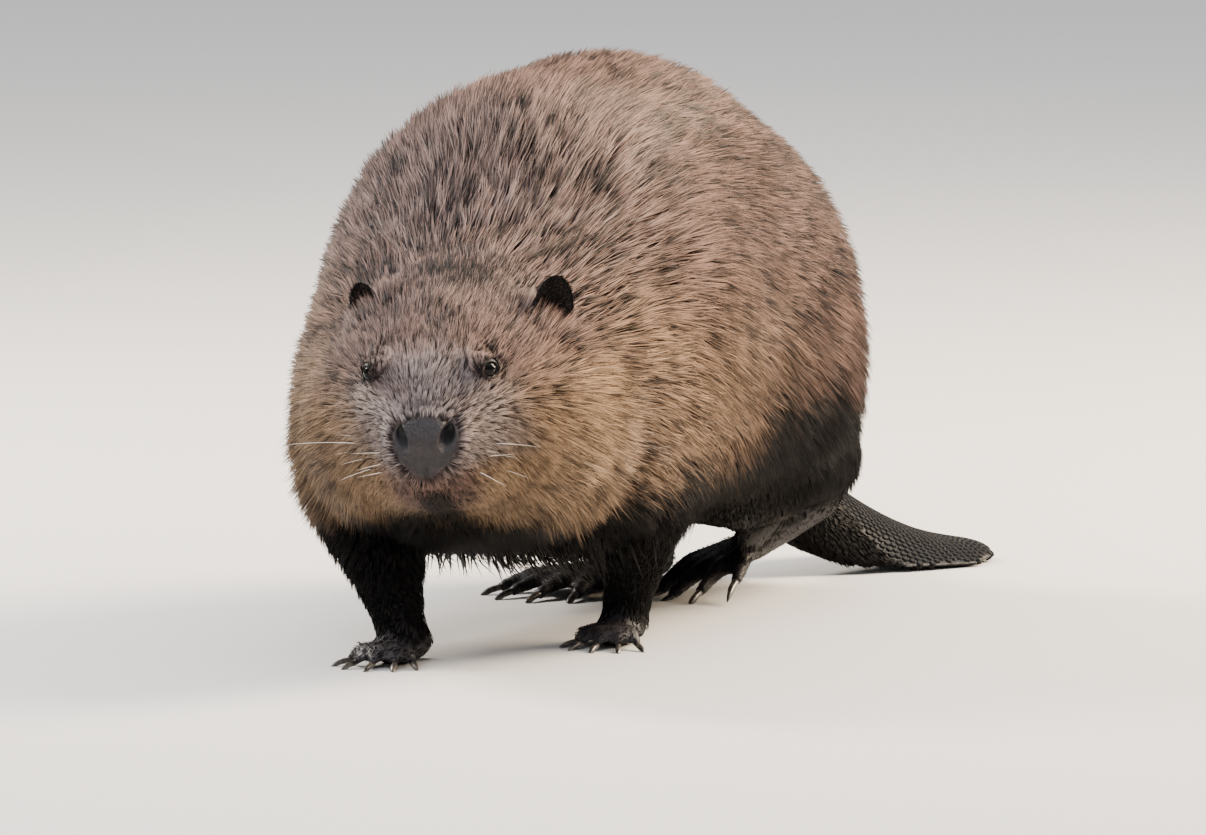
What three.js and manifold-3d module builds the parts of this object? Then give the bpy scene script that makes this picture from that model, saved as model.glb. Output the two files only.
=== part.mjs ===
// A life-size adult beaver in mid-stride: head low and turned a little to its left, left hind foot pushing off.
// Millimetres, +Z up, nose towards -Y, the animal's left towards +X. The outer faces are the tips of the coat.
import * as THREE from "three";
import { mergeVertices } from "three/addons/utils/BufferGeometryUtils.js";
import Module from "manifold-3d";

const wasm = await Module();
wasm.setup();

// ---- driving dimensions ------------------------------------------------------------------------------

const BACK_HEIGHT = 350; // floor to the top of the arched back
const TRUNK_HALF_WIDTH = 129;
const HEAD_YAW = 16.5; // degrees, turned to the animal's left
const HEAD_PITCH = 18; // degrees, nose down
const HEAD_ROLL = -3; // degrees, its right side down
const NOSE_TIP = [52, -339, 139];
const EYE_RADIUS = 6.6;
const EAR_SPACING = 106;
const EAR_SHIFT = 8; // both ears, towards the side that the head turns to
const EAR_HEIGHT = 40;
const EAR_WIDTH = 27;
const TAIL_HALF_WIDTH = 58;
const TAIL_HALF_THICKNESS = 9;
const TAIL_TWIST = 85; // degrees at its root, its left edge down; it dies out towards the tip
const TAIL_MOST_TWIST = 46; // degrees
const HIND_FOOT_LENGTH = 150; // heel to the root of the longest claw
const FORE_PALM_LENGTH = 34;
const WEB_THICKNESS = 3.2;
const HIND_CLAW_LENGTH = 19;
const FORE_CLAW_LENGTH = 14;

const PART_GAP = 0.4; // air between neighbouring nodes
const TIDY = 0.15; // the most that a surface may move when slivers are taken out of it
const TRUNK_BLEND = 16; // radius over which neighbouring masses of the trunk melt into each other
const HEAD_BLEND = 7;

// ---- materials ---------------------------------------------------------------------------------------

const finish = (color, roughness) =>
  new THREE.MeshStandardMaterial({ color, roughness, metalness: 0 });
const FUR = finish(0x7d624d, 0.9);
const DARK_FUR = finish(0x3a302a, 0.9);
const BARE_SKIN = finish(0x2c2c2f, 0.55);
const SCALES = finish(0x2a2a2c, 0.5);
const NOSE = finish(0x3d3c40, 0.45);
const CLAW = finish(0x4a4440, 0.35);
const EYE = finish(0x0b0a0a, 0.05);

// ---- geometry helpers --------------------------------------------------------------------------------

const vec = (p) => (p.isVector3 ? p : new THREE.Vector3(...p));
const degrees = THREE.MathUtils.degToRad;

/** A closed three.js geometry as a solid that can be cut and joined. */
function solidOf(geometry) {
  geometry.deleteAttribute("normal");
  geometry.deleteAttribute("uv");
  const merged = mergeVertices(geometry, 1e-3);
  return new wasm.Manifold(
    new wasm.Mesh({
      numProp: 3,
      vertProperties: merged.attributes.position.array,
      triVerts: new Uint32Array(merged.index.array),
    }),
  );
}

/** A solid as a named mesh, without the slivers that the cuts left. */
function meshOf(name, solid, material) {
  const { vertProperties, triVerts } = solid.simplify(TIDY).getMesh();
  const geometry = new THREE.BufferGeometry()
    .setAttribute("position", new THREE.BufferAttribute(vertProperties, 3))
    .setIndex(new THREE.BufferAttribute(triVerts, 1));
  geometry.computeVertexNormals();
  const mesh = new THREE.Mesh(geometry, material);
  mesh.name = name;
  return mesh;
}

/** Axes at a share t of a spine: forward along it, up as near as may be to the given up, and side. */
function axesAt(spine, t, up) {
  const along = spine.getTangent(t);
  const rise = up.clone().addScaledVector(along, -up.dot(along)).normalize();
  return { along, rise, side: new THREE.Vector3().crossVectors(rise, along) };
}

/**
 * A capsule bent along a spine, each vertex pushed out from the spine to reach(t, from, direction, shares).
 * shares holds the direction's parts along the spine, to the side and upwards. up is a direction, or one for each t.
 */
function bentCapsule(spine, { rings, sides, caps, up = [0, 0, 1] }, reach) {
  const geometry = new THREE.CapsuleGeometry(1, 2, caps, sides, rings);
  const position = geometry.getAttribute("position");
  for (let i = 0; i < position.count; i++) {
    const y = position.getY(i);
    const onAxis = THREE.MathUtils.clamp(y, -1, 1);
    const t = (1 - onAxis) / 2;
    const { along, rise, side } = axesAt(spine, t, typeof up === "function" ? up(t) : vec(up));
    const shares = { along: onAxis - y, side: position.getX(i), rise: position.getZ(i) };
    const direction = new THREE.Vector3()
      .addScaledVector(along, shares.along)
      .addScaledVector(side, shares.side)
      .addScaledVector(rise, shares.rise)
      .normalize();
    const from = spine.getPoint(t);
    from.addScaledVector(direction, reach(t, from, direction, shares));
    position.setXYZ(i, from.x, from.y, from.z);
  }
  return solidOf(geometry);
}

/**
 * A tapering limb, digit or claw through stations [x, y, z, half width, half thickness].
 * grow thickens it all round.
 */
function limb(stations, { sides = 12, rings = 8, caps = 3, up = [0, 0, 1], grow = 0 } = {}) {
  const spine = new THREE.CatmullRomCurve3(stations.map(([x, y, z]) => vec([x, y, z])));
  const sizes = new THREE.CatmullRomCurve3(
    stations.map(([, , , wide, thick = wide]) => vec([wide, thick, 0])),
  );
  return bentCapsule(spine, { rings, sides, caps, up }, (t, from, direction, shares) => {
    const size = sizes.getPoint(t);
    const across = Math.hypot(shares.side / size.x, shares.rise / size.y);
    const lengthwise = Math.abs(shares.along) / Math.min(size.x, size.y);
    return grow + 1 / Math.hypot(across, lengthwise);
  });
}

/** An ellipsoid of flesh in a frame, as the signed distance, about, from a point to it. */
function mass(centre, radii, frame = BODY) {
  const toFrame = frame.clone().invert();
  const [middle, size] = [vec(centre), vec(radii)];
  return (p) => {
    const q = p.clone().applyMatrix4(toFrame).sub(middle).divide(size);
    const away = q.length();
    return (away * (away - 1)) / Math.max(q.divide(size).length(), 1e-6);
  };
}

/** Masses that melt into each other over a radius. */
const melted = (fields, radius) => (p) =>
  -radius * Math.log(fields.reduce((sum, field) => sum + Math.exp(-field(p) / radius), 0));

/** How far a ray from inside a field runs before it comes out of it by the given margin. */
function wayOut(field, from, direction, margin) {
  const step = 6;
  const at = (far) => field(from.clone().addScaledVector(direction, far)) - margin;
  let far = step;
  while (at(far) < 0) far += step;
  let [inside, outside] = [far - step, far];
  for (let i = 0; i < 14; i++) {
    const middle = (inside + outside) / 2;
    if (at(middle) < 0) inside = middle;
    else outside = middle;
  }
  return (inside + outside) / 2;
}

/** An ellipsoid as a solid, placed by a matrix. */
function ellipsoid(centre, radii, frame, segments = 16) {
  const geometry = new THREE.SphereGeometry(1, segments, Math.round(segments * 0.6));
  geometry.scale(...radii).translate(...centre).applyMatrix4(frame);
  return solidOf(geometry);
}

/** The frame of a part that is turned about Z, then pitched about its own X, and stands at a place. */
function frameAt(place, yaw, pitch, roll = 0) {
  const turn = new THREE.Euler(degrees(pitch), degrees(roll), degrees(yaw), "ZXY");
  return new THREE.Matrix4().makeRotationFromEuler(turn).setPosition(vec(place));
}

/** A point of a frame as plain numbers in the body's frame. */
const inBody = (frame, p) => vec(p).applyMatrix4(frame).toArray();

/** Stations of a limb moved from a frame into the body's frame. */
const placed = (frame, stations) =>
  stations.map(([x, y, z, ...size]) => [...inBody(frame, [x, y, z]), ...size]);

/** The two sides of a solid, parted by a thin cut across a point. */
function partedAt(solid, point, normal) {
  const n = vec(normal).normalize();
  const offset = n.dot(vec(point));
  return [
    solid.trimByPlane(n.toArray(), offset + PART_GAP / 2),
    solid.trimByPlane(n.clone().negate().toArray(), -offset + PART_GAP / 2),
  ];
}

/** What of a solid stands above the floor. */
const aboveFloor = (solid) => solid.trimByPlane([0, 0, 1], 0);

// ---- the masses of the body --------------------------------------------------------------------------

const BODY = new THREE.Matrix4();
const HEAD = frameAt(NOSE_TIP, HEAD_YAW, HEAD_PITCH, HEAD_ROLL); // +Y runs back from the nose

const side = TRUNK_HALF_WIDTH;
const trunkField = melted(
  [
    mass([0, 148, 178], [side - 22, 118, BACK_HEIGHT - 222]), // rump
    mass([-6, 42, BACK_HEIGHT - 147], [side - 8, 146, 143]), // loin
    mass([-4, -62, 188], [side + 2, 122, 146]), // ribs
    mass([4, -150, 160], [side - 22, 76, 100]), // shoulders
    mass([0, 20, 126], [side - 12, 170, 76]), // belly
    mass([72, -116, 118], [42, 60, 66]), // left shoulder blade and upper arm
    mass([-64, -158, 118], [42, 62, 70]), // right shoulder blade and upper arm
    mass([62, 140, 122], [50, 84, 90]), // left haunch
    mass([-76, 118, 122], [50, 88, 92]), // right haunch
    mass([16, -212, 156], [68, 66, 72]), // neck
  ],
  TRUNK_BLEND,
);
const headField = melted(
  [
    mass([0, 100, 6], [50, 54, 42], HEAD), // cranium
    mass([0, 62, 10], [44, 42, 30], HEAD), // brow
    mass([0, 32, -11], [29, 34, 31], HEAD), // muzzle
    mass([33, 84, -26], [38, 48, 42], HEAD), // left cheek
    mass([-33, 84, -26], [38, 48, 42], HEAD), // right cheek
    mass([0, 56, -33], [30, 40, 21], HEAD), // lower jaw
  ],
  HEAD_BLEND,
);
const flesh = melted([trunkField, headField], TRUNK_BLEND);

// ---- trunk, neck and head ----------------------------------------------------------------------------

const SPINE = new THREE.CatmullRomCurve3(
  [
    inBody(HEAD, [0, 34, -12]),
    inBody(HEAD, [0, 62, -12]),
    inBody(HEAD, [0, 94, -10]),
    [20, -225, 166],
    [8, -150, 168],
    [2, -70, 178],
    [0, 30, 188],
    [0, 120, 176],
    [0, 165, 160],
  ].map(vec),
);

/** Trunk, neck and head as one solid, its skin moved out by a margin. */
const fleshWithin = (margin) =>
  bentCapsule(SPINE, { rings: 34, sides: 26, caps: 5 }, (t, from, direction) =>
    wayOut(flesh, from, direction, margin),
  );

// ---- tail --------------------------------------------------------------------------------------------

const TAIL_ROOT = [0, 228, 104];
const TAIL_LANDING = [59, 341, 17]; // where the paddle's left edge meets the floor
const TAIL_TIP = [94, 398, 4];

function tailStations() {
  const w = TAIL_HALF_WIDTH;
  const h = TAIL_HALF_THICKNESS;
  return [
    [...TAIL_ROOT, 34, 30],
    [12, 256, 66, 36, 22],
    [27, 286, 40, 0.8 * w, 1.6 * h],
    [43, 314, 28, 0.95 * w, 1.25 * h],
    [...TAIL_LANDING, w, h],
    [74, 364, 8, 0.98 * w, h],
    [85, 382, 5, 0.82 * w, 0.9 * h],
    [...TAIL_TIP, 0.5 * w, 0.7 * h],
  ];
}

/** Upwards for the tail at a share t of its length: leaning to the animal's left where it is twisted. */
function tailUp(t) {
  const lean = degrees(Math.min(TAIL_MOST_TWIST, TAIL_TWIST * (1 - t) ** 2));
  const heading = Math.atan2(TAIL_TIP[0] - TAIL_ROOT[0], TAIL_TIP[1] - TAIL_ROOT[1]);
  const leftwards = [Math.cos(heading), -Math.sin(heading)];
  return vec([leftwards[0] * Math.sin(lean), leftwards[1] * Math.sin(lean), Math.cos(lean)]);
}

// ---- feet --------------------------------------------------------------------------------------------

/** Stations of a claw that leaves a digit's tip: it runs on along the digit's heading and bends down. */
function clawStations([x, y, z], heading, length, halfWidth) {
  const along = new THREE.Vector3(Math.sin(heading), -Math.cos(heading), 0);
  const at = (share, drop, wide, thick) => [
    x + along.x * length * share,
    y + along.y * length * share,
    z - drop * length,
    wide * halfWidth,
    thick * halfWidth,
  ];
  return [
    at(-0.2, -0.02, 0.8, 0.8),
    at(0.2, 0, 1, 0.9),
    at(0.62, 0.14, 0.75, 0.6),
    at(1, 0.34, 0.28, 0.22),
  ];
}

/** The thin web that joins all toes of a foot, as far along them as reach and hollowed between them. */
function web(toes, reach, thickness) {
  const curves = toes
    .map(({ stations }) => new THREE.CatmullRomCurve3(stations.map(([x, y, z]) => vec([x, y, z]))))
    .reverse(); // the toes run towards -Y, so the box is turned round and not mirrored
  const spaces = toes.length - 1;
  const geometry = new THREE.BoxGeometry(spaces, 1, thickness, 2 * spaces, 3, 1);
  const position = geometry.getAttribute("position");
  for (let i = 0; i < position.count; i++) {
    const across = position.getX(i) + spaces / 2;
    const first = Math.min(Math.floor(across), spaces - 1);
    const between = across - first;
    const hollow = 1 - 0.28 * Math.sin(Math.PI * between);
    const along = (position.getY(i) + 0.5) * reach * hollow;
    const p = curves[first].getPoint(along).lerp(curves[first + 1].getPoint(along), between);
    position.setXYZ(i, p.x, p.y, p.z + position.getZ(i) - 1);
  }
  return solidOf(geometry);
}

/** Joins solids into one. */
const joined = (solids) => solids.reduce((all, one) => all.add(one));

/**
 * A foot and its claws, in the foot's own frame: heel at the origin, toes towards -Y, sole at z = 0.
 * digits holds { root, heading, length, droop } for each toe, and sizes the limb stations of the sole.
 */
function foot({ frame, sole, digits, digitRadius, clawLength, clawHalfWidth, webReach }) {
  const toes = digits.map(({ root: [x, y, z], heading, length, lift }) => {
    const angle = degrees(heading);
    const at = (share, height, radius) => [
      x + Math.sin(angle) * length * share,
      y - Math.cos(angle) * length * share,
      height,
      radius * digitRadius,
      radius * digitRadius * 0.92,
    ];
    return {
      angle,
      stations: [
        at(-0.25, z, 1.1),
        at(0.3, z + lift, 1),
        at(0.7, 0.62 * (z + lift), 0.98),
        at(1, 0.65 * digitRadius, 0.82),
      ],
    };
  });
  const webs = webReach ? [web(toes, webReach, WEB_THICKNESS)] : [];
  const transform = (solid) => solid.transform(frame.elements);
  const flesh = joined([
    limb(sole, { sides: 8, rings: 2, caps: 2 }),
    ...toes.map(({ stations }) => limb(stations, { sides: 6, rings: 2, caps: 1 })),
    ...webs,
  ]);
  const claw = ({ stations, angle }, grow) =>
    limb(clawStations(stations[3], angle, clawLength, clawHalfWidth), { sides: 5, rings: 2, caps: 1, grow });
  const claws = toes.map((toe) => aboveFloor(transform(claw(toe, 0))));
  const sockets = joined(toes.map((toe) => claw(toe, PART_GAP)));
  return { flesh: aboveFloor(transform(flesh.subtract(sockets))), claws };
}

/** Toes fanned round a foot: one for each root, as far apart as the spread allows. */
function fan(count, { spread, radius, centre, lengths, lift, height, turn = 0 }) {
  return Array.from({ length: count }, (_, i) => {
    const heading = turn + spread * (i / (count - 1) - 0.5);
    const angle = degrees(heading);
    return {
      root: [centre[0] + Math.sin(angle) * radius, centre[1] - Math.cos(angle) * radius, height],
      heading,
      length: lengths[i],
      lift,
    };
  });
}

/** A webbed hind foot: heel at the frame's origin. mirror is 1 for a left foot, whose outer toes point to +X. */
function hindFoot(frame, mirror) {
  const lengths = [44, 58, 66, 64, 54];
  return foot({
    frame,
    sole: [
      [0, -8, 14, 15, 15],
      [0, -34, 12, 17, 13],
      [0, -62, 10, 22, 11],
      [0, -84, 8, 27, 9],
    ],
    digits: fan(5, {
      spread: 46,
      radius: 46,
      centre: [0, -HIND_FOOT_LENGTH + 108],
      lengths: mirror > 0 ? lengths : [...lengths].reverse(),
      lift: 4,
      height: 9,
    }),
    digitRadius: 6.4,
    clawLength: HIND_CLAW_LENGTH,
    clawHalfWidth: 3.4,
    webReach: 0.92,
  });
}

/** A forepaw: heel of the palm at the frame's origin. */
function forePaw(frame, mirror) {
  const lengths = [15, 21, 24, 23, 19];
  return foot({
    frame,
    sole: [
      [0, 2, 12, 15, 13],
      [0, -12, 9, 17, 10],
      [0, -FORE_PALM_LENGTH + 8, 7, 18, 8],
    ],
    digits: fan(5, {
      spread: 78,
      radius: 15,
      centre: [0, -FORE_PALM_LENGTH + 20],
      lengths: mirror > 0 ? lengths : [...lengths].reverse(),
      lift: 5,
      height: 8,
    }),
    digitRadius: 5,
    clawLength: FORE_CLAW_LENGTH,
    clawHalfWidth: 2.7,
    webReach: 0,
  });
}

// ---- legs --------------------------------------------------------------------------------------------

const FORWARD = [0, -1, 0];
const LEGS = {
  fore_left: {
    stations: [
      [76, -120, 126, 40],
      [84, -104, 86, 36, 40],
      [76, -94, 52, 24, 27],
      [70, -90, 24, 17, 18],
    ],
    paw: frameAt([68, -86, 0], 4, 0),
    build: forePaw,
    mirror: 1,
  },
  fore_right: {
    stations: [
      [-58, -166, 124, 42],
      [-50, -192, 84, 38, 40],
      [-30, -214, 52, 25, 27],
      [-17, -226, 24, 17, 18],
    ],
    paw: frameAt([-13, -218, 0], 0, 0),
    build: forePaw,
    mirror: -1,
  },
  hind_left: {
    stations: [
      [64, 156, 114, 44],
      [70, 190, 90, 36, 40],
      [69, 222, 75, 23, 28],
      [65, 240, 64, 16, 19],
    ],
    paw: frameAt([65, 247, 43], -21, 17, -8),
    build: hindFoot,
    mirror: 1,
  },
  hind_right: {
    stations: [
      [-78, 110, 108, 50],
      [-76, 150, 74, 38, 42],
      [-58, 196, 46, 25, 30],
      [-48, 216, 24, 17, 20],
    ],
    paw: frameAt([-45, 224, 0], -6, 0),
    build: hindFoot,
    mirror: -1,
  },
};

// ---- ears, eyes and nose -----------------------------------------------------------------------------

/** A round ear: a shallow bowl that opens forwards and outwards. */
function ear(sign) {
  const frame = HEAD.clone().multiply(
    frameAt([(sign * EAR_SPACING) / 2 + EAR_SHIFT, 122, 30], sign * 36, -8, sign * 16),
  );
  const [w, h] = [EAR_WIDTH / 2, EAR_HEIGHT / 2];
  const pinna = ellipsoid([0, 0, 4], [w, 7, h], frame, 13);
  const bowl = ellipsoid([0, -7, 5], [w * 0.74, 8.5, h * 0.76], frame, 12);
  return pinna.subtract(bowl);
}

/** Centre of an eyeball, sunk in the skin so that about a third of it stands out. */
function eyeCentre(sign) {
  const from = vec(inBody(HEAD, [0, 54, 23]));
  const outward = new THREE.Vector3(sign * 0.96, -0.2, 0.18).normalize().transformDirection(HEAD);
  return from.addScaledVector(outward, wayOut(flesh, from, outward, -0.3 * EYE_RADIUS)).toArray();
}
const eyeball = (sign, grow) =>
  ellipsoid(eyeCentre(sign), Array(3).fill(EYE_RADIUS + grow), BODY, 12);

/** The bare nose pad with its two nostrils. */
function nosePad(grow) {
  const pad = ellipsoid([0, 13, -1], [19.5 + grow, 14 + grow, 19.5 + grow], HEAD, 12);
  if (grow) return pad;
  const nostril = (sign) => ellipsoid([sign * 14.5, 3, 6], [3, 6, 4.6], HEAD, 8);
  return pad.subtract(nostril(1)).subtract(nostril(-1));
}

// ---- the animal --------------------------------------------------------------------------------------

function buildBeaver() {
  const animal = new THREE.Group();
  const put = (name, solid, material) => animal.add(meshOf(name, solid, material));

  const whole = fleshWithin(0);
  const fleshGrown = fleshWithin(PART_GAP);
  const noseGrown = nosePad(PART_GAP);
  const eyes = { left: 1, right: -1 };

  const carved = [noseGrown, eyeball(1, PART_GAP), eyeball(-1, PART_GAP)].reduce(
    (solid, hole) => solid.subtract(hole),
    whole,
  );
  const spineCut = (solid, t) =>
    partedAt(solid, SPINE.getPoint(t).toArray(), SPINE.getTangent(t).negate().toArray());
  const [head, behindHead] = spineCut(carved, 0.4);
  const [neck, behindNeck] = spineCut(behindHead, 0.5);
  const [trunk, rump] = spineCut(behindNeck, 0.76);
  put("head", head, FUR);
  put("neck", neck, FUR);
  put("trunk", trunk, FUR);
  put("rump", rump, FUR);
  put("nose", nosePad(0), NOSE);

  for (const [label, sign] of Object.entries(eyes)) {
    put(`eye_${label}`, eyeball(sign, 0), EYE);
    put(`ear_${label}`, ear(sign).subtract(fleshGrown), DARK_FUR);
  }

  const tail = (grow) => limb(tailStations(), { sides: 16, rings: 12, caps: 4, up: tailUp, grow });
  put("tail", aboveFloor(tail(0)).subtract(fleshGrown), SCALES);
  const bodyGrown = fleshGrown.add(tail(PART_GAP));

  for (const [label, { stations, paw, build, mirror }] of Object.entries(LEGS)) {
    const { flesh: footFlesh, claws } = build(paw, mirror);
    const leg = (grow) => limb(stations, { sides: 12, rings: 7, caps: 2, up: FORWARD, grow });
    put(`leg_${label}`, aboveFloor(leg(0)).subtract(bodyGrown), DARK_FUR);
    put(`foot_${label}`, footFlesh.subtract(leg(PART_GAP)).subtract(bodyGrown), BARE_SKIN);
    claws.forEach((claw, i) => put(`claw_${label}_${i + 1}`, claw, CLAW));
  }

  const size = new THREE.Box3().setFromObject(animal);
  const middle = size.getCenter(new THREE.Vector3());
  animal.position.set(-middle.x, -middle.y, -size.min.z);
  return animal;
}

const beaver = buildBeaver();

export default beaver;
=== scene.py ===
"""A life-size beaver in mid-stride: hide, coat of tufts, eyes, claws, tail scales and whiskers.

Lengths are millimetres until a mesh is made. +Z is up, the nose points towards -Y, the animal's left to +X.
"""
import math

import bmesh
import bpy
import numpy as np
from mathutils import Matrix, Vector
from mathutils.bvhtree import BVHTree
from mathutils.kdtree import KDTree


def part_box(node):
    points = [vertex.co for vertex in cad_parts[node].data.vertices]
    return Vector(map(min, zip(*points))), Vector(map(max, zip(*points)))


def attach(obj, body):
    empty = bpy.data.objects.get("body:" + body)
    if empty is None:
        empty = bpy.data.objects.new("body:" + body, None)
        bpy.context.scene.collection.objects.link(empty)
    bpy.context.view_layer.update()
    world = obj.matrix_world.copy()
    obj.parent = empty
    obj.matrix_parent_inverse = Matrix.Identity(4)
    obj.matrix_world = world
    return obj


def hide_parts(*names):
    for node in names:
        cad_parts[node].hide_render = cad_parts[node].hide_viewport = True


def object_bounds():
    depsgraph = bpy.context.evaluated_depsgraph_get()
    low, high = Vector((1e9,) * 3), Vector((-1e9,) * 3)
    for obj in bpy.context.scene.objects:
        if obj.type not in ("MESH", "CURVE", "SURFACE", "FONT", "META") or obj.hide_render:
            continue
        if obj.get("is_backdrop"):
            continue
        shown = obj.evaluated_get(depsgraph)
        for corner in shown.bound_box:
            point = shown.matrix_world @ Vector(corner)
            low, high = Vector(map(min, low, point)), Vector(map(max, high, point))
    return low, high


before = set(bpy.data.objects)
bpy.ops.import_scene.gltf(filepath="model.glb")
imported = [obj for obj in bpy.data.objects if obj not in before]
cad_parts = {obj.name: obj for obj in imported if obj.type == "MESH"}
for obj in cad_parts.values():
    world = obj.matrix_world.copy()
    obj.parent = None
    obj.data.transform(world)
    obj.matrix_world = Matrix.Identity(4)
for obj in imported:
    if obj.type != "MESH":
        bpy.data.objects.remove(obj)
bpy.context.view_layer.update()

MM = 0.001

# ---- driving sizes ---------------------------------------------------------------------------------

HEAD_YAW, HEAD_PITCH, HEAD_ROLL = 16.5, 18.0, -3.0  # degrees
GAZE = (0.80, -0.58, 0.14)  # of the left eye, in the head's own axes
EAR_SPACING, EAR_SHIFT = 106, 8  # between the ears, and of their middle towards the left
EAR_WIDTH, EAR_HEIGHT = 27, 40
EAR_SEAT = (122, 30)  # back from the nose tip and up
EAR_TURN = (36, -8, 16)  # of the left one: degrees outwards, back and over
EAR_WALL, EAR_CUP, EAR_FOOT = 1.35, 6.5, 13  # half thickness, depth of the bowl, reach of its foot downwards
NOSTRIL, NOSTRIL_SIZE = (13.6, 4.5), (3.3, 5.2)  # of the left one: across and up, half width and height
NOSTRIL_DEPTH, NOSTRIL_FLARE, NOSE_CLEFT, NOSE_HOLLOW = 9.0, 1.3, 1.5, 1.2
PAD_WIDTH, PAD_TAPER = 18.6, 9.0  # half width of the bare pad, and how much of it is lost below
PAD_UP, PAD_DOWN = 16.5, 18.5
LID_THICKNESS, LID_RIM = 0.9, 0.5
LID_OPENING = (5.1, 4.5)  # half width and half height of the open eye
LID_REACH = 11  # where the lids run out, from the line along which the eye looks
EYE_WELL = 2.4  # how far the hide lies under the ball in the open eye
NOSE_PAD_CENTRE = (0, 13, -1)  # in the head's own axes: +X its left, +Y back from the nose tip, +Z up

FLESH_SWELL = 0.5  # closes the thin gaps between the solids
HIDE_VOXEL = 2.4
HIDE_TRIANGLES = 180000
FINE_ROUND_EYE, FINE_ROUND_NOSE = 15, 27  # how far round them the hide's faces are made finer

SIDES = ("left", "right")
LEGS = [f"{end}_{side}" for end in ("fore", "hind") for side in SIDES]
REGION_NODES = {
    "body": ["trunk", "rump"],
    "neck": ["neck"],
    "head": ["head"],
    "nose": ["nose"],
    "ear": [f"ear_{side}" for side in SIDES],
    "leg": [f"leg_{leg}" for leg in LEGS],
    "foot": [f"foot_{leg}" for leg in LEGS],
    "tail": ["tail"],
}
FLESH = [node for nodes in REGION_NODES.values() for node in nodes]
REGIONS = list(REGION_NODES)

# Depth of the coat between the hide and the tips.
COAT_DEPTH = dict(body=13, neck=12, head=8, nose=0, ear=0.6, leg=6, foot=0.4, tail=0)
FACE_THINNER, CROWN_THINNER, SHIN_THINNER, EARS_DEEPER = 5.4, 3.0, 3.6, 5  # changes of that depth
# How much of a vertex's unevenness each smoothing round takes away.
SMOOTHING = dict(body=0.5, neck=0.5, head=0.3, nose=0.15, ear=0.03, leg=0.3, foot=0.04, tail=0.12)

# ---- small maths -----------------------------------------------------------------------------------


def box_centre(node):
    """The middle of a node's box, in millimetres."""
    return np.mean(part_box(node), axis=0) / MM


def unit(vectors):
    """Rows scaled to length one."""
    return vectors / np.maximum(np.linalg.norm(vectors, axis=1), 1e-9)[:, None]


def ramp(values, start, end):
    """0 at start, 1 at end and a smooth rise between them."""
    t = np.clip((values - start) / (end - start), 0, 1)
    return t * t * (3 - 2 * t)


def share_of(shares, region):
    """How far each point belongs to one region."""
    return shares[:, REGIONS.index(region)]


def along_plane(vectors, normals):
    """The part of each vector that lies in the surface, at length one."""
    return unit(vectors - normals * np.sum(vectors * normals, axis=1)[:, None])


def turned(yaw, pitch, roll):
    """Turned about Z, then pitched about its own X and rolled about its own Y."""
    return (
        Matrix.Rotation(math.radians(yaw), 4, "Z")
        @ Matrix.Rotation(math.radians(pitch), 4, "X")
        @ Matrix.Rotation(math.radians(roll), 4, "Y")
    )


HEAD_TURN = turned(HEAD_YAW, HEAD_PITCH, HEAD_ROLL)
HEAD_AXES = np.array(HEAD_TURN.to_3x3())
NOSE_TIP = box_centre("nose") - HEAD_AXES @ np.array(NOSE_PAD_CENTRE)


def in_head(points):
    """Points in the head's own axes."""
    return (points - NOSE_TIP) @ HEAD_AXES


def from_head(points):
    """Points of the head's own axes in the body's."""
    return np.asarray(points) @ HEAD_AXES.T + NOSE_TIP


def lattice(points, size, seed):
    """Smooth random numbers from -1 to 1 that change over about the given size."""
    cell = np.floor(points / size).astype(np.int64)
    part = points / size - cell
    part = part * part * (3 - 2 * part)
    total = np.zeros(len(points))
    for corner in np.ndindex(2, 2, 2):
        at = cell + np.array(corner)
        mixed = at[:, 0] * 73856093 ^ at[:, 1] * 19349663 ^ at[:, 2] * 83492791 ^ seed * 2654435761
        mixed = (mixed ^ (mixed >> 13)) * 1274126177 & 0x7FFFFFFF
        mixed = (mixed ^ (mixed >> 16)) & 0xFFFF
        weight = np.prod(np.where(corner, part, 1 - part), axis=1)
        total += weight * (mixed / 32767.5 - 1)
    return total


# ---- shader maths ----------------------------------------------------------------------------------


class Wire:
    """A socket in a material, so that an expression on it adds Math nodes."""

    def __init__(self, tree, socket):
        self.tree, self.socket = tree, socket

    def math(self, operation, *others):
        return self.tree.node("ShaderNodeMath", {"operation": operation}, dict(enumerate([self, *others])))

    def __add__(self, other):
        return self.math("ADD", other)

    def __mul__(self, other):
        return self.math("MULTIPLY", other)

    def __sub__(self, other):
        return self.math("SUBTRACT", other)

    def __rsub__(self, other):
        return (self * -1) + other

    __radd__, __rmul__ = __add__, __mul__

    def rise(self, start, end):
        """0 at start, 1 at end and a smooth rise between them."""
        sockets = {"Value": self, "From Min": start, "From Max": end}
        return self.tree.node("ShaderNodeMapRange", {"interpolation_type": "SMOOTHSTEP"}, sockets)


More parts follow.
